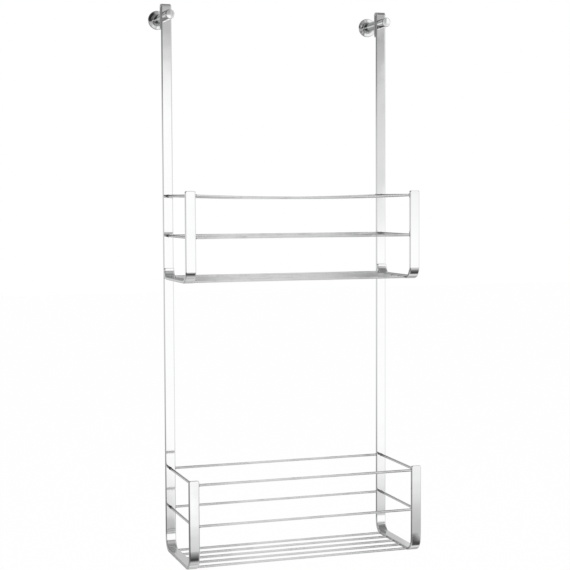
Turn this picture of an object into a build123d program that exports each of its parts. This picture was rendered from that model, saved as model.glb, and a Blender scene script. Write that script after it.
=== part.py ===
"""Two-tier hanging shower caddy: flat-bar strips, wire baskets and screw-set hanging pegs.

Millimetres, +Z up, +Y away from the user. The origin is midway between the two pegs, where the
top front edge of the panel that carries the caddy lies: under both posts, and against the backs
of the folded strip heads.
"""

import os
from math import sqrt

from build123d import *

# Overall sizes
overall_width = 300.0  # across the outer edges of the two strips
head_rise = 21.0  # hanging line up to the top of the folded heads
lower_drop = 664.5  # hanging line down to the underside of the lower basket
tier_spacing = 343.5  # underside of one basket to underside of the other
lower_depth = 119.0  # back of the strips to the front of the lower basket
upper_depth = 113.0  # back of the strips to the front of the upper basket
basket_height = 109.5  # underside of a basket to the top of its front bands

# Flat bar of the strips and brackets
band_width = 13.0
band_thickness = 3.5
edge_break = 0.5  # bevel along the edges of the bar
tip_round = 2.0  # rounding of the corners at a cut end of the bar
lower_bend_radius = 18.0  # outside radius of both bends of the lower basket
upper_bend_radius = 15.0  # outside radius of the front bend of the upper basket
tab_bend_radius = 11.5  # outside radius of the rear bend of a bracket
fold_gap = 2.0  # between the two leaves of a folded head
leaf_length = 32.0  # top of a folded head down to the end of its rear leaf
tab_length = 2.5  # straight end of a bracket above its rear bend

# Wires of the baskets
wire_diameter = 3.2
mid_wire_height = 54.4  # underside of a basket to the centre of its middle wires
rim_wire_height = 104.0  # underside of a basket to the centre of its rim wires, at their ends
upper_rim_sag = 3.0  # droop of the upper front and back rim wires at mid-span
floor_wire_count = 5
floor_wire_margin = 15.5  # front of a basket to the centre of its foremost floor wire
floor_wire_pitch = 22.0

# Hanging pegs
post_diameter = 12.0
post_length = 38.0  # back of a folded head to the front of the end disc
post_flare = 2.0  # rise and length of the cone where the post meets its disc
post_chamfer = 0.6
disc_diameter = 24.0
disc_thickness = 3.0
disc_chamfer = 0.8  # bevel of both rims of the disc
stud_diameter = 8.0
stud_in_post = 20.0  # length of stud held in the post
stud_in_knob = 13.0  # length of stud held in the knob when tight
stud_chamfer = 0.8
bore_end_gap = 0.5  # tip of a stud to the bottom of its bore
stud_clearance = 0.08  # around the stud, on the radius
knob_diameter = 12.0
knob_length = 18.0
knob_chamfer = 1.0  # bevel of the front rim of the knob
neck_diameter = 10.2  # undercut where the knob meets its strip
neck_length = 1.2
seat_gap = 0.1  # face of a post or knob to the strip it bears on

# Places that follow from the sizes
strip_x = (overall_width - band_width) / 2
inner_half_span = overall_width / 2 - band_width
strip_back = -(band_thickness + fold_gap)
strip_front = strip_back - band_thickness
peg_z = post_diameter / 2
fold_radius = (band_thickness + fold_gap) / 2
lower_floor = -lower_drop
upper_floor = lower_floor + tier_spacing
lower_front = strip_back - lower_depth
upper_front = strip_back - upper_depth
wire_radius = wire_diameter / 2
stud_hole_radius = stud_diameter / 2 + stud_clearance
stud_tip = strip_front - seat_gap - stud_in_knob

SIDES = {"left": -1, "right": 1}
# Each basket: its underside, its front face, the outer face of its rear bend, the outside radii of its
# rear and front bends, and the sag of its rim
BASKETS = {
    "upper": (upper_floor, upper_front, strip_front, tab_bend_radius, upper_bend_radius, upper_rim_sag),
    "lower": (lower_floor, lower_front, strip_back, lower_bend_radius, lower_bend_radius, 0.0),
}

os.makedirs("parts", exist_ok=True)


def save(builder, name):
    """Label a finished piece and write it to its own file."""
    builder.part.label = name
    export_step(builder.part, f"parts/{name}.step")


def bar_section(path):
    """Draw the section of the flat bar square to the start of its path."""
    start = Plane(origin=path @ 0, x_dir=(1, 0, 0), z_dir=path % 0)
    with BuildSketch(start) as section:
        Rectangle(band_width, band_thickness)
    return section.sketch


def finish_bar():
    """Round the corners of the bar's two cut ends, then break its edges all the way round."""
    ends = faces().filter_by(Axis.Z).sort_by(SortBy.AREA)[:2]
    fillet(ends.edges().filter_by(Axis.Y), tip_round)
    longest = edges().filter_by(Axis.Z).group_by(SortBy.LENGTH)[-1]
    chamfer(longest, edge_break)


def build_strip(side):
    """Make one strip: folded head, long drop, floor of the lower basket and its front band."""
    x = SIDES[side] * strip_x
    rear_y = -band_thickness / 2
    drop_y = strip_back - band_thickness / 2
    front_y = lower_front + band_thickness / 2
    floor_z = lower_floor + band_thickness / 2
    fold_z = head_rise - fold_radius - band_thickness / 2
    leaf_end = head_rise - leaf_length
    front_top = lower_floor + basket_height
    with BuildPart() as strip:
        with BuildLine(Plane.YZ.offset(x)) as path:
            Line((rear_y, leaf_end), (rear_y, fold_z))
            CenterArc((rear_y - fold_radius, fold_z), fold_radius, 0, 180)
            FilletPolyline(
                (drop_y, fold_z),
                (drop_y, floor_z),
                (front_y, floor_z),
                (front_y, front_top),
                radius=lower_bend_radius - band_thickness / 2,
            )
        bar_path = path.wires()[0]
        sweep(bar_section(bar_path), path=bar_path)
        finish_bar()
        with Locations(Plane(origin=(x, strip_front, peg_z), z_dir=(0, -1, 0))):
            Hole(radius=stud_hole_radius, depth=-strip_front)
    save(strip, f"{side}_strip")


def build_bracket(side):
    """Make one bracket of the upper basket: rear tab on the strip, floor run and front band."""
    x = SIDES[side] * strip_x
    tab_y = strip_front - band_thickness / 2
    front_y = upper_front + band_thickness / 2
    floor_z = upper_floor + band_thickness / 2
    tab_top = upper_floor + tab_bend_radius + tab_length
    front_top = upper_floor + basket_height
    with BuildPart() as bracket:
        with BuildLine(Plane.YZ.offset(x)) as path:
            FilletPolyline(
                (tab_y, tab_top),
                (tab_y, floor_z),
                (front_y, floor_z),
                (front_y, front_top),
                radius=(tab_bend_radius - band_thickness / 2, upper_bend_radius - band_thickness / 2),
            )
        bar_path = path.wires()[0]
        sweep(bar_section(bar_path), path=bar_path)
        finish_bar()
    save(bracket, f"{side}_bracket")


def build_cross_wire(name, y, z):
    """Make one straight wire that butts on the inner edges of the left and right bars."""
    with BuildPart() as wire:
        with BuildSketch(Plane.YZ.offset(-inner_half_span)):
            with Locations((y, z)):
                Circle(wire_radius)
        extrude(amount=2 * inner_half_span)
    save(wire, name)


def build_sagging_wire(name, y, z, sag):
    """Make one wire that droops between the bars, its ends cut flat on their inner edges."""
    reach = inner_half_span + wire_radius
    with BuildPart() as wire:
        with BuildLine() as bow:
            ThreePointArc((-reach, y, z), (0, y, z - sag), (reach, y, z))
        with BuildSketch(Plane(origin=bow.line @ 0, z_dir=bow.line % 0)):
            Circle(wire_radius)
        sweep()
        split(bisect_by=Plane.YZ.offset(inner_half_span), keep=Keep.BOTTOM)
        split(bisect_by=Plane.YZ.offset(-inner_half_span), keep=Keep.TOP)
    save(wire, name)


def build_side_wire(name, x, z, front_back):
    """Make one straight wire from the face of a strip to the back of a front band."""
    with BuildPart() as wire:
        with BuildSketch(Plane.XZ.offset(-strip_front)):
            with Locations((x, z)):
                Circle(wire_radius)
        extrude(amount=strip_front - front_back)
    save(wire, name)


def rise_on_bend(from_face, radius):
    """Height above the floor run at which a wire lies that is this near the outer face of a bend."""
    middle_radius = radius - band_thickness / 2
    into_bend = max(0.0, radius - from_face)
    return middle_radius - sqrt(middle_radius**2 - into_bend**2)


def build_basket_wires(tier):
    """Make the floor, front, back and side wires of one basket."""
    underside, front, bend_back, rear_radius, front_radius, rim_sag = BASKETS[tier]
    levels = {"mid": (underside + mid_wire_height, 0.0), "rim": (underside + rim_wire_height, rim_sag)}
    bar_middle = band_thickness / 2
    for index in range(floor_wire_count):
        y = front + floor_wire_margin + (floor_wire_count - 1 - index) * floor_wire_pitch
        rise = rise_on_bend(bend_back - y, rear_radius) + rise_on_bend(y - front, front_radius)
        build_cross_wire(f"{tier}_floor_wire_{index + 1}", y, underside + bar_middle + rise)
    for level, (z, sag) in levels.items():
        for wall, y in {"back": strip_back - bar_middle, "front": front + bar_middle}.items():
            if sag > 0:
                build_sagging_wire(f"{tier}_{wall}_{level}_wire", y, z, sag)
            else:
                build_cross_wire(f"{tier}_{wall}_{level}_wire", y, z)
        for side, sign in SIDES.items():
            build_side_wire(f"{tier}_{side}_{level}_wire", sign * strip_x, z, front + band_thickness)


def build_post(side, plane, axis):
    """Make the turned post that rests on the panel, bored for its stud and flared at its disc."""
    radius = post_diameter / 2
    bore_end = seat_gap + stud_in_post + bore_end_gap
    with BuildPart() as post:
        with BuildSketch(plane):
            with BuildLine():
                Polyline(
                    (post_length, 0),
                    (bore_end, 0),
                    (bore_end, stud_hole_radius),
                    (seat_gap, stud_hole_radius),
                    (seat_gap, radius - post_chamfer),
                    (seat_gap + post_chamfer, radius),
                    (post_length - post_flare, radius),
                    (post_length, radius + post_flare),
                    close=True,
                )
            make_face()
        revolve(axis=axis)
    save(post, f"{side}_post")


def build_end_disc(side, plane, axis):
    """Make the disc on the rear end of a post, with both rims bevelled."""
    with BuildPart() as disc:
        with BuildSketch(plane):
            with Locations((post_length, 0)):
                Rectangle(disc_thickness, disc_diameter / 2, align=(Align.MIN, Align.MIN))
        revolve(axis=axis)
        chamfer(disc.edges().filter_by(GeomType.CIRCLE), disc_chamfer)
    save(disc, f"{side}_end_disc")


def build_stud(side, plane, axis):
    """Make the threaded stud that joins the post to the knob through both leaves of the head."""
    stud_end = seat_gap + stud_in_post
    with BuildPart() as stud:
        with BuildSketch(plane):
            with Locations((stud_tip, 0)):
                Rectangle(stud_end - stud_tip, stud_diameter / 2, align=(Align.MIN, Align.MIN))
        revolve(axis=axis)
        chamfer(stud.edges().filter_by(GeomType.CIRCLE), stud_chamfer)
    save(stud, f"{side}_stud")


def build_knob(side, plane, axis):
    """Make the thumb knob: a blind-bored cap with an undercut neck and a bevelled front rim."""
    back = strip_front - seat_gap
    front = back - knob_length
    radius = knob_diameter / 2
    bore_end = stud_tip - bore_end_gap
    with BuildPart() as knob:
        with BuildSketch(plane):
            with BuildLine():
                Polyline(
                    (bore_end, 0),
                    (bore_end, stud_hole_radius),
                    (back, stud_hole_radius),
                    (back, neck_diameter / 2),
                    (back - neck_length, neck_diameter / 2),
                    (back - neck_length, radius),
                    (front + knob_chamfer, radius),
                    (front, radius - knob_chamfer),
                    (front, 0),
                    close=True,
                )
            make_face()
        revolve(axis=axis)
    save(knob, f"{side}_knob")


def build_peg(side):
    """Make the four turned pieces of one hanging peg about their common axis."""
    centre = (SIDES[side] * strip_x, 0, peg_z)
    plane = Plane(origin=centre, x_dir=(0, 1, 0), z_dir=(1, 0, 0))
    axis = Axis(centre, (0, 1, 0))
    build_post(side, plane, axis)
    build_end_disc(side, plane, axis)
    build_stud(side, plane, axis)
    build_knob(side, plane, axis)


for side_name in SIDES:
    build_strip(side_name)
    build_bracket(side_name)
    build_peg(side_name)
for tier_name in BASKETS:
    build_basket_wires(tier_name)
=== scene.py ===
"""Looks of the two-tier hanging shower caddy.

Chromed flat-bar strips and brackets, welded wire baskets and screw-set hanging pegs, built in metres
in the part's own frame: +X to the user's right, +Y away from the user, +Z up, with the origin on the
line under both posts. Every piece stands for its own CAD node and rides on that node's body.
"""

import logging
import math
from dataclasses import dataclass, field
from enum import Enum

import bmesh
import bpy
from mathutils import Matrix, Vector


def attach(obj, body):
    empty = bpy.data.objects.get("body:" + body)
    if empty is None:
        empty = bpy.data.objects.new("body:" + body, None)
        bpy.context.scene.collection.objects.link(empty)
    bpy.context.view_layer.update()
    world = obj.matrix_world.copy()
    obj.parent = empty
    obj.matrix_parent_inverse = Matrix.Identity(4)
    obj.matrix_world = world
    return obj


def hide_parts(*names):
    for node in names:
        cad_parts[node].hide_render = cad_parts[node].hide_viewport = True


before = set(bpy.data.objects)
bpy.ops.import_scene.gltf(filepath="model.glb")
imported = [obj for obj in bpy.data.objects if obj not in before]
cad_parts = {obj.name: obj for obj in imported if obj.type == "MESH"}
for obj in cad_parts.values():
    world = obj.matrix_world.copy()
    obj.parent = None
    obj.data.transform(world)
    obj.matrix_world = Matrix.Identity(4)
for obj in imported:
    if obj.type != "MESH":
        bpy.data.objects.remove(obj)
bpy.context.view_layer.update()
LOG = logging.getLogger("shower_caddy")
MM = 0.001
SHARP_DEGREES = 50.0
FLAT_FACE_WEIGHT = 80
SocketOrNumber = bpy.types.NodeSocket | float


class Side(Enum):
    """The two mirrored halves of the caddy, with the sign of their X."""

    LEFT = -1
    RIGHT = 1

    @property
    def word(self) -> str:
        """Name of the side as the nodes use it."""
        return self.name.lower()


class Tier(Enum):
    """The two baskets."""

    UPPER = "upper"
    LOWER = "lower"


class Level(Enum):
    """Heights at which a basket's wall wires run, above its underside."""

    MID = 54.4 * MM
    RIM = 104.0 * MM

    @property
    def word(self) -> str:
        """Name of the level as the nodes use it."""
        return self.name.lower()


@dataclass(frozen=True)
class Layout:
    """Where the main pieces lie; the driving sizes of the part, in metres."""

    overall_width: float = 300.0 * MM
    band_width: float = 13.0 * MM
    band_thickness: float = 3.5 * MM
    fold_gap: float = 2.0 * MM
    head_rise: float = 21.0 * MM
    leaf_length: float = 32.0 * MM
    lower_bend_radius: float = 18.0 * MM
    upper_bend_radius: float = 15.0 * MM
    tab_bend_radius: float = 11.5 * MM
    tab_length: float = 2.5 * MM
    lower_drop: float = 664.5 * MM
    tier_spacing: float = 343.5 * MM
    lower_depth: float = 119.0 * MM
    upper_depth: float = 113.0 * MM
    basket_height: float = 109.5 * MM
    wire_diameter: float = 3.2 * MM
    floor_wire_count: int = 5
    floor_wire_margin: float = 15.5 * MM
    floor_wire_pitch: float = 22.0 * MM
    upper_rim_sag: float = 3.0 * MM
    peg_height: float = 6.0 * MM

    @property
    def strip_x(self) -> float:
        """Middle of a strip, from the caddy's centre."""
        return (self.overall_width - self.band_width) / 2

    @property
    def inner_half_span(self) -> float:
        """Inner edge of a strip, from the caddy's centre."""
        return self.overall_width / 2 - self.band_width

    @property
    def strip_back(self) -> float:
        """Y of the back face of a strip below its folded head."""
        return -(self.band_thickness + self.fold_gap)

    @property
    def strip_front(self) -> float:
        """Y of the front face of a strip."""
        return self.strip_back - self.band_thickness

    def rise_on_bend(self, from_face: float, radius: float) -> float:
        """Height above the floor run at which a wire on a bend lies.

        Args:
            from_face: how near the wire is to the bend's outer face.
            radius: the bend's outside radius.

        Returns:
            The height in metres, 0 in front of the bend.
        """
        middle_radius = radius - self.band_thickness / 2
        into_bend = max(0.0, radius - from_face)
        return middle_radius - math.sqrt(middle_radius**2 - into_bend**2)

    def underside(self, tier: Tier) -> float:
        """Z of the underside of a basket.

        Args:
            tier: which basket.

        Returns:
            The height in metres.
        """
        lower = -self.lower_drop
        return lower + self.tier_spacing if tier is Tier.UPPER else lower

    def front(self, tier: Tier) -> float:
        """Y of the front face of a basket.

        Args:
            tier: which basket.

        Returns:
            The place in metres.
        """
        depth = self.upper_depth if tier is Tier.UPPER else self.lower_depth
        return self.strip_back - depth


LAYOUT = Layout()


class Graph:
    """Places nodes in one node tree and links them."""

    def __init__(self, tree: bpy.types.NodeTree) -> None:
        """Keep the tree that the nodes go into."""
        self.tree = tree

    def add(self, kind: str, **settings: object) -> bpy.types.Node:
        """Add one node.

        Args:
            kind: the node's type name.
            settings: properties to set on it.

        Returns:
            The new node.
        """
        node = self.tree.nodes.new(kind)
        node.location = (len(self.tree.nodes) * 180, 0)
        for name, value in settings.items():
            setattr(node, name, value)
        return node

    def feed(self, socket: bpy.types.NodeSocket, value: SocketOrNumber | tuple | Vector) -> None:
        """Link a socket to another one, or set its own value.

        Args:
            socket: the input to feed.
            value: a source socket, or a plain value.
        """
        if isinstance(value, bpy.types.NodeSocket):
            self.tree.links.new(value, socket)
        else:
            socket.default_value = value

    def math(self, operation: str, *values: SocketOrNumber) -> bpy.types.NodeSocket:
        """Add a math node.

        Args:
            operation: the node's operation.
            values: its operands, in order.

        Returns:
            Its result.
        """
        node = self.add("ShaderNodeMath", operation=operation)
        for socket, value in zip(node.inputs, values):
            self.feed(socket, value)
        return node.outputs[0]

    def vector(self, operation: str, *values: SocketOrNumber | tuple) -> bpy.types.NodeSocket:
        """Add a vector math node.

        Args:
            operation: the node's operation; for SCALE the second value is the factor.
            values: its operands, in order.

        Returns:
            Its vector, or its number for DOT_PRODUCT and LENGTH.
        """
        node = self.add("ShaderNodeVectorMath", operation=operation)
        sockets = [node.inputs[0], node.inputs["Scale"]] if operation == "SCALE" else node.inputs
        for socket, value in zip(sockets, values):
            self.feed(socket, value)
        return node.outputs["Value" if operation in ("DOT_PRODUCT", "LENGTH") else "Vector"]

    def span(
        self, value: SocketOrNumber, low: float, high: float,
        to_low: SocketOrNumber, to_high: SocketOrNumber,
    ) -> bpy.types.NodeSocket:
        """Map a value from one range to another, clamped, with a smooth start and end.

        Args:
            value: what is mapped.
            low: start of the range it comes from.
            high: end of that range.
            to_low: result at the start.
            to_high: result at the end.

        Returns:
            The mapped value.
        """
        node = self.add("ShaderNodeMapRange", interpolation_type="SMOOTHSTEP")
        for name, number in zip(("Value", "From Min", "From Max", "To Min", "To Max"),
                                (value, low, high, to_low, to_high)):
            self.feed(node.inputs[name], number)
        return node.outputs["Result"]

    def mix(
        self, factor: SocketOrNumber, low: bpy.types.NodeSocket, high: bpy.types.NodeSocket
    ) -> bpy.types.NodeSocket:
        """Mix two colours.

        Args:
            factor: 0 for the first, 1 for the second.
            low: the first.
            high: the second.

        Returns:
            The mixed colour.
        """
        node = self.add("ShaderNodeMix", data_type="RGBA")
        inputs = {socket.identifier: socket for socket in node.inputs}
        outputs = {socket.identifier: socket for socket in node.outputs}
        self.feed(inputs["Factor_Float"], factor)
        self.feed(inputs["A_Color"], low)
        self.feed(inputs["B_Color"], high)
        return outputs["Result_Color"]


def new_group(
    name: str, kind: str, inputs: dict[str, tuple[str, object]], outputs: dict[str, str]
) -> tuple[Graph, bpy.types.Node, bpy.types.Node]:
    """Make an empty node group with named sockets.

    Args:
        name: the group's name.
        kind: tree type, shader or geometry.
        inputs: socket type and default by input name; a default of None is left alone.
        outputs: socket type by output name.

    Returns:
        Its graph, its input node and its output node.
    """
    tree = bpy.data.node_groups.new(name, kind)
    for label, (socket_type, default) in inputs.items():
        socket = tree.interface.new_socket(label, in_out="INPUT", socket_type=socket_type)
        if default is not None:
            socket.default_value = default
    for label, socket_type in outputs.items():
        tree.interface.new_socket(label, in_out="OUTPUT", socket_type=socket_type)
    graph = Graph(tree)
    return graph, graph.add("NodeGroupInput"), graph.add("NodeGroupOutput")


class SurfaceEffects:
    """Shader node groups that the finishes share.

    Attributes:
        HAZE_RANGE: noise values between which wiped haze sets in.
        LINE_RANGE: noise values between which rubbing lines set in.
        LINE_SHARE: strength of the rubbing lines against the haze.
        CLOUD_RANGE: noise values between which the plating clouds over.
        CLOUD_SHARE: strength of the clouds.
    """

    HAZE_RANGE = (0.42, 0.72)
    LINE_RANGE = (0.50, 0.80)
    LINE_SHARE = 0.55
    CLOUD_RANGE = (0.50, 0.85)
    CLOUD_SHARE = 0.12

    def __init__(self) -> None:
        """Build each group once."""
        self.polish = self.build_polish()
        self.ripple = self.build_ripple()
        self.plate = self.build_plate()

    def build_polish(self) -> bpy.types.NodeTree:
        """Make the polish group: wiped haze and fine rubbing lines that vary the roughness.

        Returns:
            The node group.
        """
        graph, given, made = new_group(
            "polish_marks",
            "ShaderNodeTree",
            {
                "Place": ("NodeSocketVector", None),
                "Run": ("NodeSocketVector", None),
                "Haze Scale": ("NodeSocketFloat", 30.0),
                "Line Scale": ("NodeSocketFloat", 900.0),
                "Smooth": ("NodeSocketFloat", 0.04),
                "Rough": ("NodeSocketFloat", 0.12),
                "Wear": ("NodeSocketFloat", 0.0),
            },
            {"Roughness": "NodeSocketFloat"},
        )
        haze = graph.add("ShaderNodeTexNoise", noise_dimensions="3D")
        graph.feed(haze.inputs["Vector"], given.outputs["Place"])
        graph.feed(haze.inputs["Scale"], given.outputs["Haze Scale"])
        haze.inputs["Detail"].default_value = 4.0
        lines = graph.add("ShaderNodeTexNoise", noise_dimensions="2D")
        graph.feed(lines.inputs["Vector"], given.outputs["Run"])
        graph.feed(lines.inputs["Scale"], given.outputs["Line Scale"])
        lines.inputs["Detail"].default_value = 2.0
        hazy = graph.span(haze.outputs[0], *self.HAZE_RANGE, 0.0, 1.0)
        lined = graph.span(lines.outputs[0], *self.LINE_RANGE, 0.0, self.LINE_SHARE)
        marks = graph.math("MAXIMUM", hazy, lined)
        worn = graph.math("MAXIMUM", marks, given.outputs["Wear"])
        extra = graph.math("SUBTRACT", given.outputs["Rough"], given.outputs["Smooth"])
        rough = graph.math("MULTIPLY_ADD", worn, extra, given.outputs["Smooth"])
        graph.feed(made.inputs["Roughness"], rough)
        return graph.tree

    def build_ripple(self) -> bpy.types.NodeTree:
        """Make the ripple group: the slow waves and fine peel of plated metal, as a height.

        Returns:
            The node group.
        """
        graph, given, made = new_group(
            "plating_ripple",
            "ShaderNodeTree",
            {
                "Place": ("NodeSocketVector", None),
                "Wave Scale": ("NodeSocketFloat", 45.0),
                "Peel Scale": ("NodeSocketFloat", 700.0),
                "Peel": ("NodeSocketFloat", 0.03),
            },
            {"Height": "NodeSocketFloat"},
        )
        wave = graph.add("ShaderNodeTexNoise", noise_dimensions="3D")
        peel = graph.add("ShaderNodeTexNoise", noise_dimensions="3D")
        for node, scale in ((wave, "Wave Scale"), (peel, "Peel Scale")):
            graph.feed(node.inputs["Vector"], given.outputs["Place"])
            graph.feed(node.inputs["Scale"], given.outputs[scale])
        wave.inputs["Detail"].default_value = 1.0
        peel.inputs["Detail"].default_value = 2.0
        graph.feed(
            made.inputs["Height"],
            graph.math("MULTIPLY_ADD", peel.outputs[0], given.outputs["Peel"], wave.outputs[0]),
        )
        return graph.tree

    def build_plate(self) -> bpy.types.NodeTree:
        """Make the plate group: plating colour, duller on worn edges and darker as painted shade, burnt
        dark at welds with painted contact shade.

        Returns:
            The node group.
        """
        graph, given, made = new_group(
            "plate_colour",
            "ShaderNodeTree",
            {
                "Place": ("NodeSocketVector", None),
                "Clear": ("NodeSocketColor", (0.95, 0.955, 0.96, 1.0)),
                "Dull": ("NodeSocketColor", (0.80, 0.81, 0.83, 1.0)),
                "Cloud Scale": ("NodeSocketFloat", 18.0),
                "Edge": ("NodeSocketFloat", 0.0),
                "Weld": ("NodeSocketFloat", 0.0),
                "Burn Shade Tint": ("NodeSocketColor", (0.020, 0.019, 0.018, 1.0)),
            },
            {"Color": "NodeSocketColor"},
        )
        cloud = graph.add("ShaderNodeTexNoise", noise_dimensions="3D")
        graph.feed(cloud.inputs["Vector"], given.outputs["Place"])
        graph.feed(cloud.inputs["Scale"], given.outputs["Cloud Scale"])
        cloud.inputs["Detail"].default_value = 3.0
        clouded = graph.span(cloud.outputs[0], *self.CLOUD_RANGE, 0.0, self.CLOUD_SHARE)
        # The second colour marks worn bar edges, and paints shade on a peg's rear pieces and in thread
        # roots.
        darkened = graph.math("MAXIMUM", clouded, given.outputs["Edge"])
        body = graph.mix(darkened, given.outputs["Clear"], given.outputs["Dull"])
        # The weld mark darkens the colour: burnt plating together with painted contact shade.
        burnt_and_shaded = graph.mix(given.outputs["Weld"], body, given.outputs["Burn Shade Tint"])
        graph.feed(made.inputs["Color"], burnt_and_shaded)
        return graph.tree


@dataclass(frozen=True)
class Coat:
    """A finish made into a material, with the record's slot that it belongs to."""

    slot: str
    material: bpy.types.Material


@dataclass(frozen=True)
class PlatedFinish:
    """One plated or plain metal finish and the values that it gives the shared effects.

    Attributes:
        BARE_BURN_SHADE: weld marks between which the plating turns bare, for weld burn and painted
            contact shade.
    """

    BARE_BURN_SHADE = (0.35, 1.0)

    slot: str
    clear: tuple[float, float, float]
    dull: tuple[float, float, float]
    smooth: float
    rough: float
    haze_scale: float
    line_scale: float
    line_stretch: tuple[float, float, float]
    wave_scale: float
    wave_height: float
    peel: float
    run_map: str = ""
    edge_attribute: str = ""
    edge_share: float = 0.6
    weld_attribute: str = ""
    burn_shade_share: float = 0.7

    def build(self, effects: SurfaceEffects) -> Coat:
        """Make the material.

        Args:
            effects: the shared shader groups.

        Returns:
            The coat; its material has its own Principled shader.
        """
        material = bpy.data.materials.new(self.slot + "_coat")
        material.use_nodes = True
        graph = Graph(material.node_tree)
        shader = material.node_tree.nodes["Principled BSDF"]
        shader.inputs["Metallic"].default_value = 1.0
        place = graph.add("ShaderNodeTexCoord").outputs["Object"]
        run = place
        if self.run_map:
            run = graph.add("ShaderNodeUVMap", uv_map=self.run_map).outputs["UV"]
        stretch = graph.add("ShaderNodeMapping")
        graph.feed(stretch.inputs["Vector"], run)
        stretch.inputs["Scale"].default_value = self.line_stretch
        # Mesh shares: worn edges or painted shade, and the weld burn with painted contact shade.
        edge = self.read(graph, self.edge_attribute, self.edge_share)
        weld = self.read(graph, self.weld_attribute, self.burn_shade_share)

        colour = graph.add("ShaderNodeGroup", node_tree=effects.plate)
        graph.feed(colour.inputs["Place"], place)
        colour.inputs["Clear"].default_value = (*self.clear, 1.0)
        colour.inputs["Dull"].default_value = (*self.dull, 1.0)
        graph.feed(colour.inputs["Edge"], edge)
        graph.feed(colour.inputs["Weld"], weld)
        graph.feed(shader.inputs["Base Color"], colour.outputs["Color"])

        polish = graph.add("ShaderNodeGroup", node_tree=effects.polish)
        graph.feed(polish.inputs["Place"], place)
        graph.feed(polish.inputs["Run"], stretch.outputs["Vector"])
        polish.inputs["Haze Scale"].default_value = self.haze_scale
        polish.inputs["Line Scale"].default_value = self.line_scale
        polish.inputs["Smooth"].default_value = self.smooth
        polish.inputs["Rough"].default_value = self.rough
        graph.feed(polish.inputs["Wear"], edge if self.edge_attribute else weld)
        graph.feed(shader.inputs["Roughness"], polish.outputs["Roughness"])
        # Painted contact shade: where the weld mark is strong the plating turns bare and near black.
        if self.weld_attribute:
            graph.feed(shader.inputs["Metallic"], graph.span(weld, *self.BARE_BURN_SHADE, 1.0, 0.0))

        ripple = graph.add("ShaderNodeGroup", node_tree=effects.ripple)
        graph.feed(ripple.inputs["Place"], place)
        ripple.inputs["Wave Scale"].default_value = self.wave_scale
        ripple.inputs["Peel"].default_value = self.peel
        bump = graph.add("ShaderNodeBump")
        bump.inputs["Strength"].default_value = 1.0
        bump.inputs["Distance"].default_value = self.wave_height
        graph.feed(bump.inputs["Height"], ripple.outputs["Height"])
        graph.feed(shader.inputs["Normal"], bump.outputs["Normal"])
        return Coat(self.slot, material)

    @staticmethod
    def read(graph: Graph, attribute: str, share: float) -> SocketOrNumber:
        """Read a mesh attribute at part strength.

        Args:
            graph: the material's graph.
            attribute: its name, or nothing.
            share: the strength.

        Returns:
            The scaled value, or 0 with no attribute.
        """
        if not attribute:
            return 0.0
        node = graph.add("ShaderNodeAttribute", attribute_type="GEOMETRY", attribute_name=attribute)
        return graph.math("MULTIPLY", node.outputs["Fac"], share)


BAR_CHROME = PlatedFinish(
    slot="bar_chrome",
    clear=(0.985, 0.986, 0.988),
    dull=(0.80, 0.81, 0.83),
    smooth=0.02,
    rough=0.085,
    haze_scale=26.0,
    line_scale=1.0,
    line_stretch=(2600.0, 45.0, 1.0),
    wave_scale=38.0,
    wave_height=0.05 * MM,
    peel=0.01,
    run_map="bar_run",
    edge_attribute="edge_wear",
    edge_share=0.5,
)
WIRE_CHROME = PlatedFinish(
    slot="wire_chrome",
    clear=(0.985, 0.986, 0.988),
    dull=(0.78, 0.79, 0.81),
    smooth=0.09,
    rough=0.22,
    haze_scale=34.0,
    line_scale=240.0,
    line_stretch=(1.0, 1.0, 1.0),
    wave_scale=60.0,
    wave_height=0.03 * MM,
    peel=0.02,
    weld_attribute="burn_and_contact_shade",
    burn_shade_share=0.95,
)
# Painted shade: the post and disc take the darker second colour.
PEG_CHROME = PlatedFinish(
    slot="peg_chrome",
    clear=(0.985, 0.986, 0.988),
    dull=(0.62, 0.625, 0.635),
    smooth=0.03,
    rough=0.09,
    haze_scale=70.0,
    line_scale=1.0,
    line_stretch=(1.5, 2800.0, 1.0),
    wave_scale=120.0,
    wave_height=0.012 * MM,
    peel=0.02,
    run_map="turned",
    edge_attribute="rear_shade",
    edge_share=1.0,
)
# Painted shade: the thread roots take the darker second colour.
STUD_STEEL = PlatedFinish(
    slot="stud_steel",
    clear=(0.60, 0.60, 0.61),
    dull=(0.36, 0.36, 0.37),
    smooth=0.22,
    rough=0.48,
    haze_scale=160.0,
    line_scale=900.0,
    line_stretch=(1.0, 1.0, 1.0),
    wave_scale=500.0,
    wave_height=0.01 * MM,
    peel=0.2,
    edge_attribute="root",
    edge_share=0.9,
)


def new_object(name: str, mesh: bpy.types.Mesh) -> bpy.types.Object:
    """Put a mesh into the scene, at the origin.

    Args:
        name: the object's name.
        mesh: its mesh.

    Returns:
        The object.
    """
    obj = bpy.data.objects.new(name, mesh)
    bpy.context.scene.collection.objects.link(obj)
    return obj


def settle(obj: bpy.types.Object) -> None:
    """Turn an object's modifiers into a plain mesh and take them off.

    Args:
        obj: the object.
    """
    depsgraph = bpy.context.evaluated_depsgraph_get()
    mesh = bpy.data.meshes.new_from_object(obj.evaluated_get(depsgraph), depsgraph=depsgraph)
    obj.modifiers.clear()
    old = obj.data
    obj.data = mesh
    mesh.name = obj.name
    bpy.data.meshes.remove(old)


def finish_piece(obj: bpy.types.Object, body: str, node: str) -> None:
    """Hand a finished piece to the frame.

    Args:
        obj: the piece.
        body: the body that it rides on.
        node: the CAD node that it stands for.
    """
    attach(obj, body)
    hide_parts(node)
    LOG.info("%s: %d faces, rides on %s, stands for %s", obj.name, len(obj.data.polygons), body, node)


def dress_piece(obj: bpy.types.Object, body: str, node: str, coat: Coat) -> None:
    """Give a piece its finish and hand it to the frame.

    Args:
        obj: the piece.
        body: the body that it rides on.
        node: the CAD node that it stands for.
        coat: its finish.
    """
    obj.data.materials.clear()
    obj.data.materials.append(coat.material)
    finish_piece(obj, body, node)


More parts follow.
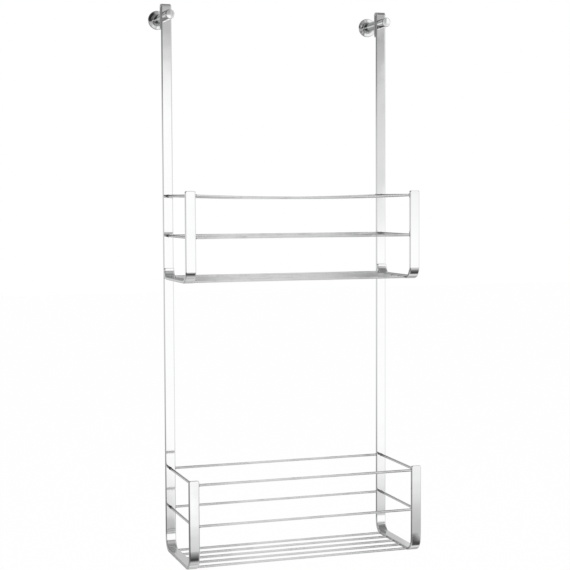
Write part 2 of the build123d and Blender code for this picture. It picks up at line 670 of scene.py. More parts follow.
@dataclass
class BarPath:
    """Middle line of a bent flat bar in the YZ plane, drawn as runs and turns."""

    y: float
    z: float
    heading: float
    stations: list[tuple[float, float, float, float]] = field(default_factory=list)
    length: float = 0.0

    def __post_init__(self) -> None:
        """Note the starting station."""
        self.note()

    def note(self) -> None:
        """Add a station: place, heading and distance along the bar."""
        self.stations.append((self.y, self.z, self.heading, self.length))

    def run(self, distance: float, steps: tuple[float, ...] = ()) -> "BarPath":
        """Go straight on.

        Args:
            distance: how far, in metres.
            steps: distances on the way that also get a station.

        Returns:
            The path itself.
        """
        start = (self.y, self.z, self.length)
        for step in (*sorted(steps), distance):
            self.y = start[0] + step * math.cos(self.heading)
            self.z = start[1] + step * math.sin(self.heading)
            self.length = start[2] + step
            self.note()
        return self

    def turn(self, radius: float, degrees: float, steps: int) -> "BarPath":
        """Go round a bend.

        Args:
            radius: radius of the middle line.
            degrees: how far; positive turns from +Y towards +Z.
            steps: number of equal steps.

        Returns:
            The path itself.
        """
        side = math.copysign(1.0, degrees)
        centre = (self.y - side * radius * math.sin(self.heading),
                  self.z + side * radius * math.cos(self.heading))
        start, begun = self.heading, self.length
        for index in range(1, steps + 1):
            turned = math.radians(degrees) * index / steps
            self.heading = start + turned
            self.y = centre[0] + side * radius * math.sin(self.heading)
            self.z = centre[1] - side * radius * math.cos(self.heading)
            self.length = begun + radius * abs(turned)
            self.note()
        return self


@dataclass(frozen=True)
class BasketBend:
    """A right-angled bend that starts gently on its upright side, then closes to a tighter radius."""

    tight: float
    gentle_degrees: float
    gentle: float = 80.0 * MM
    gentle_steps: int = 8
    tight_steps: int = 22

    @property
    def rise(self) -> float:
        """Length that the bend takes from its upright side."""
        turned = math.sin(math.radians(self.gentle_degrees))
        return self.gentle * turned + self.tight * (1 - turned)

    @property
    def reach(self) -> float:
        """Length that the bend takes from its level side."""
        turned = math.cos(math.radians(self.gentle_degrees))
        return self.gentle * (1 - turned) + self.tight * turned

    def leave_upright(self, path: BarPath) -> None:
        """Bend a path from upright to level."""
        path.turn(self.gentle, -self.gentle_degrees, self.gentle_steps)
        path.turn(self.tight, self.gentle_degrees - 90, self.tight_steps)

    def leave_level(self, path: BarPath) -> None:
        """Bend a path from level to upright."""
        path.turn(self.tight, self.gentle_degrees - 90, self.tight_steps)
        path.turn(self.gentle, -self.gentle_degrees, self.gentle_steps)


@dataclass
class FlatBar:
    """A flat bar bent along a path, with rolled edges and rounded tips.

    Attributes:
        TIP_STEPS: distances from a tip at which its rounding is drawn.
    """

    TIP_STEPS = tuple(step * MM for step in (0.04, 0.12, 0.25, 0.42, 0.65, 0.95, 1.3, 1.65, 2.0))

    node: str
    x: float
    path: BarPath
    width: float = LAYOUT.band_width
    thickness: float = LAYOUT.band_thickness
    edge_radius: float = 1.0 * MM
    end_radius: float = 0.4 * MM
    tip_radius: float = 2.0 * MM
    corner_steps: int = 5
    edge_band: float = 0.5 * MM
    least_roll: float = 0.05 * MM
    hole_height: float | None = None
    hole_radius: float = 4.08 * MM
    hole_segments: int = 64
    drill_centre: float = -5.0 * MM
    drill_length: float = 20.0 * MM

    def outline(self, from_tip: float) -> list[tuple[float, float, float]]:
        """Section of the bar, narrower close to a tip.

        Args:
            from_tip: distance to the nearer tip.

        Returns:
            Points round the section: across, through, and how much edge wear each has.
        """
        tip, edge, end = self.tip_radius, self.edge_radius, self.end_radius
        half = self.width / 2
        deep = self.thickness / 2
        # Close to a tip the bar narrows, and at the very end its faces draw in as well.
        if from_tip < tip:
            half += math.sqrt(tip**2 - (tip - from_tip) ** 2) - tip
        roll = edge
        if from_tip < end:
            drawn = end - math.sqrt(end**2 - (end - from_tip) ** 2)
            half -= drawn
            deep -= drawn
            roll = max(edge - drawn, self.least_roll)
        flat = half - roll - self.edge_band
        points = []
        for quarter, (sx, sy) in enumerate(((1, 1), (-1, 1), (-1, -1), (1, -1))):
            arc = []
            for index in range(self.corner_steps + 1):
                angle = math.radians(90.0 * quarter + 90.0 * index / self.corner_steps)
                arc.append((sx * (half - roll) + roll * math.cos(angle),
                            sy * (deep - roll) + roll * math.sin(angle), 1.0))
            inner = (sx * flat, sy * deep, 0.0)
            points += arc + [inner] if quarter % 2 == 0 else [inner] + arc
        return points

    def build(self) -> bpy.types.Object:
        """Sweep the section along the path and cap both tips.

        Returns:
            The bar as an object with a plain mesh.
        """
        total = self.path.length
        verts: list[tuple[float, float, float]] = []
        wear: list[float] = []
        runs: list[tuple[float, float]] = []
        count = 0
        for y, z, heading, along in self.path.stations:
            section = self.outline(min(along, total - along))
            count = len(section)
            girth = 0.0
            for index, (across, through, worn) in enumerate(section):
                if index:
                    girth += math.dist(section[index - 1][:2], (across, through))
                verts.append((self.x + across, y - through * math.sin(heading),
                              z + through * math.cos(heading)))
                wear.append(worn)
                runs.append((girth, along))
        rings = len(self.path.stations)
        faces: list[tuple[int, ...]] = []
        for ring in range(rings - 1):
            for index in range(count):
                after = (index + 1) % count
                a, b = ring * count, (ring + 1) * count
                faces.append((a + index, a + after, b + after, b + index))
        faces.append(tuple(range(count)))
        faces.append(tuple(range((rings - 1) * count, rings * count)))
        mesh = bpy.data.meshes.new(self.node + "_bar")
        mesh.from_pydata(verts, [], faces)
        mesh.attributes.new("edge_wear", "FLOAT", "POINT").data.foreach_set("value", wear)
        layer = mesh.uv_layers.new(name="bar_run")
        for loop in mesh.loops:
            layer.data[loop.index].uv = runs[loop.vertex_index]
        face_out(mesh)
        obj = new_object(self.node + "_bar", mesh)
        if self.hole_height is not None:
            self.drill(obj)
        weigh_normals(obj)
        return obj

    def drill(self, obj: bpy.types.Object) -> None:
        """Bore the stud hole through both leaves of a folded head.

        Args:
            obj: the bar.
        """
        drill_mesh = bpy.data.meshes.new("drill")
        tool = bmesh.new()
        place = Matrix.Translation((self.x, self.drill_centre, self.hole_height))
        bmesh.ops.create_cone(
            tool, cap_ends=True, segments=self.hole_segments, radius1=self.hole_radius,
            radius2=self.hole_radius, depth=self.drill_length,
            matrix=place @ Matrix.Rotation(math.pi / 2, 4, "X"),
        )
        tool.to_mesh(drill_mesh)
        tool.free()
        cutter = new_object("drill", drill_mesh)
        cut = obj.modifiers.new("stud_hole", "BOOLEAN")
        cut.operation = "DIFFERENCE"
        cut.solver = "EXACT"
        cut.object = cutter
        settle(obj)
        bpy.data.objects.remove(cutter)
        bpy.data.meshes.remove(drill_mesh)


def face_out(mesh: bpy.types.Mesh) -> None:
    """Turn every face of a closed mesh outwards and shade it smooth.

    Args:
        mesh: the mesh.
    """
    work = bmesh.new()
    work.from_mesh(mesh)
    bmesh.ops.recalc_face_normals(work, faces=work.faces)
    for face in work.faces:
        face.smooth = True
    work.to_mesh(mesh)
    work.free()


def weigh_normals(obj: bpy.types.Object, sharp_degrees: float = SHARP_DEGREES) -> None:
    """Keep flat faces flat in mirrors: sharp corners stay sharp, and large faces set the normals.

    Args:
        obj: the piece.
        sharp_degrees: edges sharper than this are not smoothed.
    """
    obj.data.set_sharp_from_angle(angle=math.radians(sharp_degrees))
    weighted = obj.modifiers.new("flat_faces", "WEIGHTED_NORMAL")
    weighted.keep_sharp = True
    weighted.weight = FLAT_FACE_WEIGHT
    settle(obj)


@dataclass
class Strip:
    """One long strip: folded head, drop, and floor and front band of the lower basket."""

    side: Side
    layout: Layout = LAYOUT
    rear_bend: BasketBend = BasketBend(tight=13.0 * MM, gentle_degrees=7.5)
    front_bend: BasketBend = BasketBend(tight=15.0 * MM, gentle_degrees=7.5)
    fold_steps: int = 28

    def build(self, coat: Coat) -> None:
        """Lay out the path, make the bar and hand it to the frame.

        Args:
            coat: the bar's finish.
        """
        size = self.layout
        middle = size.band_thickness / 2
        fold = (size.band_thickness + size.fold_gap) / 2
        fold_z = size.head_rise - fold - middle
        floor_z = size.underside(Tier.LOWER) + middle
        drop_y = size.strip_back - middle
        front_y = size.front(Tier.LOWER) + middle
        tips = FlatBar.TIP_STEPS
        leaf = size.leaf_length - size.head_rise + fold_z
        band = size.basket_height - middle - self.front_bend.rise
        path = BarPath(-middle, fold_z - leaf, math.pi / 2)
        path.run(leaf, tips)
        path.turn(fold, 180, self.fold_steps)
        path.run(fold_z - floor_z - self.rear_bend.rise)
        self.rear_bend.leave_upright(path)
        path.run(drop_y - front_y - self.rear_bend.reach - self.front_bend.reach)
        self.front_bend.leave_level(path)
        path.run(band, tuple(band - step for step in tips))
        node = f"{self.side.word}_strip"
        bar = FlatBar(node, self.side.value * size.strip_x, path, hole_height=size.peg_height)
        dress_piece(bar.build(), "frame", node, coat)


@dataclass
class Bracket:
    """Flat bar of the upper basket: tab on the strip, floor run and front band."""

    side: Side
    layout: Layout = LAYOUT
    bend: BasketBend = BasketBend(tight=13.0 * MM, gentle_degrees=2.5)
    rear_steps: int = 24

    def build(self, coat: Coat) -> None:
        """Lay out the path, make the bar and hand it to the frame.

        Args:
            coat: the bar's finish.
        """
        size = self.layout
        middle = size.band_thickness / 2
        rear = size.tab_bend_radius - middle
        tab_y = size.strip_front - middle
        front_y = size.front(Tier.UPPER) + middle
        floor_z = size.underside(Tier.UPPER) + middle
        tips = FlatBar.TIP_STEPS
        band = size.basket_height - middle - self.bend.rise
        path = BarPath(tab_y, floor_z + rear + size.tab_length, -math.pi / 2)
        path.run(size.tab_length, tips)
        path.turn(rear, -90, self.rear_steps)
        path.run(tab_y - front_y - rear - self.bend.reach)
        self.bend.leave_level(path)
        path.run(band, tuple(band - step for step in tips))
        node = f"{self.side.word}_bracket"
        bar = FlatBar(node, self.side.value * size.strip_x, path)
        dress_piece(bar.build(), "frame", node, coat)


def sweep_ring(graph: Graph, given: bpy.types.Node, curve: bpy.types.NodeSocket) -> bpy.types.Node:
    """Sweep a circle of a group's own Radius and Segments along a curve, with closed ends.

    Args:
        graph: the group's graph.
        given: its input node.
        curve: the curve.

    Returns:
        The node that makes the mesh.
    """
    ring = graph.add("GeometryNodeCurvePrimitiveCircle")
    graph.feed(ring.inputs["Resolution"], given.outputs["Segments"])
    graph.feed(ring.inputs["Radius"], given.outputs["Radius"])
    tube = graph.add("GeometryNodeCurveToMesh")
    graph.feed(tube.inputs["Curve"], curve)
    graph.feed(tube.inputs["Profile Curve"], ring.outputs["Curve"])
    tube.inputs["Fill Caps"].default_value = True
    return tube


def coat_mesh(graph: Graph, given: bpy.types.Node, mesh: bpy.types.NodeSocket) -> bpy.types.NodeSocket:
    """Shade a mesh smooth and give it a group's own Finish.

    Args:
        graph: the group's graph.
        given: its input node.
        mesh: the mesh.

    Returns:
        The coated mesh.
    """
    smooth = graph.add("GeometryNodeSetShadeSmooth")
    graph.feed(smooth.inputs["Geometry"], mesh)
    plain = graph.add("GeometryNodeRealizeInstances")
    graph.feed(plain.inputs["Geometry"], smooth.outputs["Geometry"])
    coated = graph.add("GeometryNodeSetMaterial")
    graph.feed(coated.inputs["Geometry"], plain.outputs["Geometry"])
    graph.feed(coated.inputs["Material"], given.outputs["Finish"])
    return coated.outputs["Geometry"]


class WireTree:
    """Geometry Nodes tree of one wire, straight or drooping, with a weld at each end.

    Attributes:
        POINTS: rings along the wire.
        SWELL_POWER: how fast the weld bead thins out.
        BURN_SHADE_POWER: how fast the burn mark and its painted contact shade fade.
    """

    POINTS = 81
    SWELL_POWER = 2.2
    BURN_SHADE_POWER = 0.9

    def __init__(self) -> None:
        """Build the tree."""
        graph, given, made = new_group(
            "welded_wire",
            "GeometryNodeTree",
            {
                "Start": ("NodeSocketVector", None),
                "End": ("NodeSocketVector", None),
                "Radius": ("NodeSocketFloat", 1.6 * MM),
                "Sag": ("NodeSocketFloat", 0.0),
                "Weld Length": ("NodeSocketFloat", 2.0 * MM),
                "Weld Round": ("NodeSocketFloat", 0.1 * MM),
                "Weld Along": ("NodeSocketFloat", 0.5 * MM),
                "Along": ("NodeSocketVector", (0.0, 0.0, 1.0)),
                "Heat Length": ("NodeSocketFloat", 3.0 * MM),
                "Start Burn Shade": ("NodeSocketFloat", 0.5),
                "End Burn Shade": ("NodeSocketFloat", 0.5),
                "Segments": ("NodeSocketInt", 32),
                "Finish": ("NodeSocketMaterial", None),
            },
            {"Wire": "NodeSocketGeometry"},
        )
        self.tree = graph.tree
        start, end = given.outputs["Start"], given.outputs["End"]
        radius = given.outputs["Radius"]
        line = graph.add("GeometryNodeCurvePrimitiveLine")
        graph.feed(line.inputs["Start"], start)
        graph.feed(line.inputs["End"], end)
        points = graph.add("GeometryNodeResampleCurve")
        graph.feed(points.inputs["Curve"], line.outputs["Curve"])
        points.inputs["Count"].default_value = self.POINTS

        # Rings crowd towards both ends, where the welds are, and the droop is deepest at mid-span.
        index = graph.add("GeometryNodeInputIndex").outputs["Index"]
        swing = graph.math("COSINE", graph.math("MULTIPLY", index, math.pi / (self.POINTS - 1)))
        way = graph.math("MULTIPLY_ADD", swing, -0.5, 0.5)
        rest = graph.math("SUBTRACT", 1.0, way)
        chord = graph.vector("SUBTRACT", end, start)
        droop = graph.math("MULTIPLY", graph.math("MULTIPLY", way, rest), -4.0)
        down = graph.add("ShaderNodeCombineXYZ")
        graph.feed(down.inputs["Z"], graph.math("MULTIPLY", droop, given.outputs["Sag"]))
        on_chord = graph.vector("ADD", start, graph.vector("SCALE", chord, way))
        moved = graph.add("GeometryNodeSetPosition")
        graph.feed(moved.inputs["Geometry"], points.outputs["Curve"])
        graph.feed(moved.inputs["Position"], graph.vector("ADD", on_chord, down.outputs["Vector"]))

        # The weld bead swells the wire's end, and its burn mark, with painted contact shade, reaches
        # further along the wire.
        to_end = graph.math("MULTIPLY", graph.math("MINIMUM", way, rest), graph.vector("LENGTH", chord))
        swell = self.fade(graph, to_end, given.outputs["Weld Length"], self.SWELL_POWER)
        burn_shade_fade = self.fade(graph, to_end, given.outputs["Heat Length"], self.BURN_SHADE_POWER)
        far_half = graph.math("GREATER_THAN", way, 0.5)
        far_more = graph.math("SUBTRACT", given.outputs["End Burn Shade"], given.outputs["Start Burn Shade"])
        burn_shade = graph.math("MULTIPLY", burn_shade_fade,
                          graph.math("MULTIPLY_ADD", far_half, far_more, given.outputs["Start Burn Shade"]))
        marked = moved.outputs["Geometry"]
        for name, value in (("weld", swell), ("burn_and_contact_shade", burn_shade)):
            store = graph.add("GeometryNodeStoreNamedAttribute", data_type="FLOAT", domain="POINT")
            graph.feed(store.inputs["Geometry"], marked)
            store.inputs["Name"].default_value = name
            graph.feed(store.inputs["Value"], value)
            marked = store.outputs["Geometry"]

        tube = sweep_ring(graph, given, marked)
        weld = graph.add("GeometryNodeInputNamedAttribute", data_type="FLOAT")
        weld.inputs["Name"].default_value = "weld"
        held = weld.outputs["Attribute"]
        grown = graph.math("DIVIDE", graph.math("MULTIPLY", held, given.outputs["Weld Round"]), radius)
        graph.feed(tube.inputs["Scale"], graph.math("ADD", 1.0, grown))

        # The bead also spreads along the bar that it sits on.
        spot = graph.add("GeometryNodeInputPosition").outputs["Position"]
        along = given.outputs["Along"]
        offset = graph.vector("DOT_PRODUCT", graph.vector("SUBTRACT", spot, start), along)
        pull = graph.math("MULTIPLY", graph.math("DIVIDE", offset, radius), held)
        spread = graph.vector("SCALE", along, graph.math("MULTIPLY", pull, given.outputs["Weld Along"]))
        drawn = graph.add("GeometryNodeSetPosition")
        graph.feed(drawn.inputs["Geometry"], tube.outputs["Mesh"])
        graph.feed(drawn.inputs["Offset"], spread)
        graph.feed(made.inputs["Wire"], coat_mesh(graph, given, drawn.outputs["Geometry"]))

    @staticmethod
    def fade(
        graph: Graph, distance: bpy.types.NodeSocket, length: bpy.types.NodeSocket, power: float
    ) -> bpy.types.NodeSocket:
        """Fall from 1 at a wire's end to 0 at some length from it.

        Args:
            graph: the tree's graph.
            distance: distance to the nearer end.
            length: where the value reaches 0.
            power: how fast it falls.

        Returns:
            The value.
        """
        share = graph.math("MINIMUM", graph.math("DIVIDE", distance, length), 1.0)
        return graph.math("POWER", graph.math("SUBTRACT", 1.0, share), power)


def grow(name: str, tree: bpy.types.NodeTree, values: dict[str, object]) -> bpy.types.Object:
    """Run a Geometry Nodes tree and keep its result as a plain mesh.

    Args:
        name: the new object's name.
        tree: the tree.
        values: its inputs, by socket name.

    Returns:
        The object, without its modifier.
    """
    obj = new_object(name, bpy.data.meshes.new(name))
    modifier = obj.modifiers.new(tree.name, "NODES")
    modifier.node_group = tree
    for item in tree.interface.items_tree:
        if item.item_type == "SOCKET" and item.in_out == "INPUT" and item.name in values:
            modifier[item.identifier] = values[item.name]
    settle(obj)
    obj.data.set_sharp_from_angle(angle=math.radians(SHARP_DEGREES))
    return obj


@dataclass
class Basket:
    """Wires of one basket: floor, front, back and sides."""

    tier: Tier
    layout: Layout = LAYOUT
    sink: float = 0.5 * MM
    weld_length: float = 2.2 * MM
    # Burn marks: the weld's burn, plus painted contact shade and reflection where a side wire meets a
    # strip, darker on the left.
    heat_length: float = 2.8 * MM
    cross_weld_round: float = 0.08 * MM
    cross_weld_along: float = 0.9 * MM
    cross_weld_heat: float = 0.4
    side_weld_round: float = 0.7 * MM
    side_heat_length: float = 12.0 * MM
    left_weld_heat: float = 1.6
    right_weld_heat: float = 0.85
    band_weld_heat: float = 0.25

    def build(self, tree: WireTree, coat: Coat) -> None:
        """Make every wire and hand it to the frame.

        Args:
            tree: the wire tree.
            coat: the wires' finish.
        """
        size = self.layout
        underside, front = size.underside(self.tier), size.front(self.tier)
        middle = size.band_thickness / 2
        bend_back = size.strip_front if self.tier is Tier.UPPER else size.strip_back
        rear = size.tab_bend_radius if self.tier is Tier.UPPER else size.lower_bend_radius
        fore = size.upper_bend_radius if self.tier is Tier.UPPER else size.lower_bend_radius
        for index in range(size.floor_wire_count):
            name = f"{self.tier.value}_floor_wire_{index + 1}"
            from_front = size.floor_wire_count - 1 - index
            y = front + size.floor_wire_margin + from_front * size.floor_wire_pitch
            rise = size.rise_on_bend(bend_back - y, rear) + size.rise_on_bend(y - front, fore)
            self.cross_wire(tree, coat, name, y, underside + middle + rise, (0.0, 1.0, 0.0))
        for level in Level:
            z = underside + level.value
            sag = size.upper_rim_sag if (self.tier, level) == (Tier.UPPER, Level.RIM) else 0.0
            for wall, y in (("back", size.strip_back - middle), ("front", front + middle)):
                name = f"{self.tier.value}_{wall}_{level.word}_wire"
                self.cross_wire(tree, coat, name, y, z, (0.0, 0.0, 1.0), sag)
            for side in Side:
                name = f"{self.tier.value}_{side.word}_{level.word}_wire"
                self.side_wire(tree, coat, name, side, z, front + size.band_thickness)

    def cross_wire(
        self, tree: WireTree, coat: Coat, node: str, y: float, z: float,
        along: tuple[float, float, float], sag: float = 0.0,
    ) -> None:
        """Make a wire that butts on the inner edges of the left and right bars.

        Args:
            tree: the wire tree.
            coat: its finish.
            node: the CAD node that it stands for.
            y: its place front to back.
            z: its height.
            along: the way the bar's edge runs there, in which the weld spreads.
            sag: its droop at mid-span.
        """
        reach = self.layout.inner_half_span + self.sink
        weld = {"Along": along, "Weld Round": self.cross_weld_round, "Weld Along": self.cross_weld_along,
                "Sag": sag, "Start Burn Shade": self.cross_weld_heat, "End Burn Shade": self.cross_weld_heat}
        self.wire(tree, coat, node, (-reach, y, z), (reach, y, z), weld)

    def side_wire(
        self, tree: WireTree, coat: Coat, node: str, side: Side, z: float, front_back: float
    ) -> None:
        """Make a wire from the face of a strip to the back of a front band.

        Args:
            tree: the wire tree.
            coat: its finish.
            node: the CAD node that it stands for.
            side: which end of the basket.
            z: its height.
            front_back: Y of the back of the front band.
        """
        x = side.value * self.layout.strip_x
        start = (x, self.layout.strip_front + self.sink, z)
        end = (x, front_back - self.sink, z)
        # Painted shade: the strip end of a side wire is darker on the left than on the right.
        burn_shade = self.left_weld_heat if side is Side.LEFT else self.right_weld_heat
        weld = {"Weld Round": self.side_weld_round, "Weld Along": 0.0,
                "Heat Length": self.side_heat_length,
                "Start Burn Shade": burn_shade, "End Burn Shade": self.band_weld_heat}
        self.wire(tree, coat, node, start, end, weld)

    def wire(
        self, tree: WireTree, coat: Coat, node: str, start: tuple[float, float, float],
        end: tuple[float, float, float], weld: dict[str, object],
    ) -> None:
        """Make one wire and hand it to the frame.

        Args:
            tree: the wire tree.
            coat: its finish.
            node: the CAD node that it stands for.
            start: one end, inside the bar that it is welded to.
            end: the other end.
            weld: what the tree needs to know about its two welds.
        """
        values = {
            "Start": start,
            "End": end,
            "Radius": self.layout.wire_diameter / 2,
            "Weld Length": self.weld_length,
            "Heat Length": self.heat_length,
            "Finish": coat.material,
            **weld,
        }
        obj = grow(node + "_welded", tree.tree, values)
        finish_piece(obj, "frame", node)


@dataclass(frozen=True)
class Corner:
    """One corner of a turned profile: place along the axis, radius, and its rounding."""

    along: float
    radius: float
    rounding: float = 0.0


@dataclass
class TurnedPiece:
    """A solid of revolution about a peg's axis, drawn as a profile with rounded corners.

    Attributes:
        ON_AXIS: a point nearer to the axis than this lies on it.
    """

    ON_AXIS = 1e-7

    node: str
    body: str
    x: float
    z: float
    profile: list[Corner]
    # Share of painted shade that darkens the piece's colour.
    rear_shade: float = 0.0
    segments: int = 96
    arc_steps: int = 6
    sharp_degrees: float = 40.0

    def outline(self) -> list[tuple[float, float]]:
        """Profile with its corners rounded.

        Returns:
            Points as (along the axis, radius).
        """
        points: list[tuple[float, float]] = []
        for index, corner in enumerate(self.profile):
            here = Vector((corner.along, corner.radius))
            if corner.rounding <= 0 or index in (0, len(self.profile) - 1):
                points.append((here.x, here.y))
                continue
            before = self.profile[index - 1]
            after = self.profile[index + 1]
            back = (Vector((before.along, before.radius)) - here).normalized()
            ahead = (Vector((after.along, after.radius)) - here).normalized()
            half = back.angle(ahead) / 2
            reach = corner.rounding / math.tan(half)
            centre = here + (back + ahead).normalized() * (corner.rounding / math.sin(half))
            first, final = here + back * reach - centre, here + ahead * reach - centre
            for step in range(self.arc_steps + 1):
                swept = first.lerp(final, step / self.arc_steps).normalized() * corner.rounding
                points.append((centre.x + swept.x, centre.y + swept.y))
        return points

    def build(self) -> bpy.types.Object:
        """Turn the profile about the axis.

        Returns:
            The piece as an object with a plain mesh.
        """
        outline = self.outline()
        verts: list[tuple[float, float, float]] = []
        rows: list[list[int]] = []
        travel = 0.0
        travels: list[float] = []
        for index, (along, radius) in enumerate(outline):
            if index:
                travel += math.dist(outline[index - 1], (along, radius))
            count = 1 if radius < self.ON_AXIS else self.segments
            row = []
            for turn in range(count):
                angle = 2 * math.pi * turn / self.segments
                row.append(len(verts))
                verts.append((self.x + radius * math.cos(angle), along,
                              self.z + radius * math.sin(angle)))
                travels.append(travel)
            rows.append(row)
        faces: list[tuple[int, ...]] = []
        # Where a row is a single point on the axis, its doubled corner drops out and leaves a triangle.
        for low, high in zip(rows, rows[1:]):
            for turn in range(self.segments):
                after = (turn + 1) % self.segments
                corners = [ring[step % len(ring)]
                           for ring, step in ((low, turn), (low, after), (high, after), (high, turn))]
                faces.append(tuple(dict.fromkeys(corners)))
        mesh = bpy.data.meshes.new(self.node + "_turned")
        mesh.from_pydata(verts, [], faces)
        # Painted shade: this share darkens the piece in its finish.
        plate = mesh.attributes.new("rear_shade", "FLOAT", "POINT")
        plate.data.foreach_set("value", [self.rear_shade] * len(verts))
        layer = mesh.uv_layers.new(name="turned")
        # A face on the seam counts on past a full turn instead of running back round the piece.
        for polygon in mesh.polygons:
            turns = [self.turn_of(mesh.vertices[index].co) for index in polygon.vertices]
            for loop, index, turn in zip(polygon.loop_indices, polygon.vertices, turns):
                wrapped = turn + 1.0 if max(turns) - turn > 0.5 else turn
                layer.data[loop].uv = (wrapped, travels[index])
        face_out(mesh)
        obj = new_object(self.node + "_turned", mesh)
        weigh_normals(obj, self.sharp_degrees)
        return obj

    def turn_of(self, place: Vector) -> float:
        """Share of a full turn at which a point lies about the axis.

        Args:
            place: the point.

        Returns:
            A number from 0 to 1.
        """
        return (math.atan2(place.z - self.z, place.x - self.x) / (2 * math.pi)) % 1.0


class ThreadTree:
    """Geometry Nodes tree of a stud with a right-handed thread along all its length.

    Attributes:
        FLANK: where a flank begins below the crest and ends at the root, in halves of the pitch.
    """

    FLANK = (0.14, 0.82)

    def __init__(self) -> None:
        """Build the tree."""
        graph, given, made = new_group(
            "threaded_stud",
            "GeometryNodeTree",
            {
                "Start": ("NodeSocketVector", None),
                "Length": ("NodeSocketFloat", 42.2 * MM),
                "Radius": ("NodeSocketFloat", 4.0 * MM),
                "Pitch": ("NodeSocketFloat", 1.25 * MM),
                "Depth": ("NodeSocketFloat", 0.7 * MM),
                "Chamfer": ("NodeSocketFloat", 0.8 * MM),
                "Steps": ("NodeSocketInt", 405),
                "Segments": ("NodeSocketInt", 48),
                "Finish": ("NodeSocketMaterial", None),
            },
            {"Stud": "NodeSocketGeometry"},
        )
        self.tree = graph.tree
        start, length = given.outputs["Start"], given.outputs["Length"]
        radius = given.outputs["Radius"]
        line = graph.add("GeometryNodeCurvePrimitiveLine")
        end = graph.add("ShaderNodeCombineXYZ")
        graph.feed(end.inputs["Y"], length)
        graph.feed(line.inputs["Start"], start)
        graph.feed(line.inputs["End"], graph.vector("ADD", start, end.outputs["Vector"]))
        points = graph.add("GeometryNodeResampleCurve")
        graph.feed(points.inputs["Curve"], line.outputs["Curve"])
        graph.feed(points.inputs["Count"], given.outputs["Steps"])
        tube = sweep_ring(graph, given, points.outputs["Curve"])
        spot = graph.add("GeometryNodeInputPosition").outputs["Position"]
        apart = graph.add("ShaderNodeSeparateXYZ")
        graph.feed(apart.inputs["Vector"], graph.vector("SUBTRACT", spot, start))
        # The place along the stud in pitches, less the share of a turn, runs from groove to groove.
        angle = graph.math("ARCTAN2", apart.outputs["X"], apart.outputs["Z"])
        turn = graph.math("DIVIDE", angle, 2 * math.pi)
        climbed = graph.math("DIVIDE", apart.outputs["Y"], given.outputs["Pitch"])
        phase = graph.math("FRACT", graph.math("SUBTRACT", climbed, turn))
        saw = graph.math("ABSOLUTE", graph.math("MULTIPLY_ADD", phase, 2.0, -1.0))
        root = graph.add("ShaderNodeMapRange")
        root.inputs["From Min"].default_value, root.inputs["From Max"].default_value = self.FLANK
        graph.feed(root.inputs["Value"], saw)
        cut = graph.math("MULTIPLY", root.outputs["Result"], given.outputs["Depth"])
        # Both ends are chamfered.
        to_far_end = graph.math("SUBTRACT", length, apart.outputs["Y"])
        to_end = graph.math("MINIMUM", apart.outputs["Y"], to_far_end)
        trim = graph.math("MAXIMUM", graph.math("SUBTRACT", given.outputs["Chamfer"], to_end), 0.0)
        loss = graph.math("DIVIDE", graph.math("MAXIMUM", cut, trim), radius)
        outward = graph.add("ShaderNodeCombineXYZ")
        graph.feed(outward.inputs["X"], apart.outputs["X"])
        graph.feed(outward.inputs["Z"], apart.outputs["Z"])
        drawn = graph.add("GeometryNodeSetPosition")
        graph.feed(drawn.inputs["Offset"],
                   graph.vector("SCALE", outward.outputs["Vector"], graph.math("MULTIPLY", loss, -1.0)))
        # The root share also paints shade into the thread's grooves.
        marked = graph.add("GeometryNodeStoreNamedAttribute", data_type="FLOAT", domain="POINT")
        marked.inputs["Name"].default_value = "root"
        graph.feed(marked.inputs["Value"], root.outputs["Result"])
        graph.feed(marked.inputs["Geometry"], tube.outputs["Mesh"])
        graph.feed(drawn.inputs["Geometry"], marked.outputs["Geometry"])
        graph.feed(made.inputs["Stud"], coat_mesh(graph, given, drawn.outputs["Geometry"]))


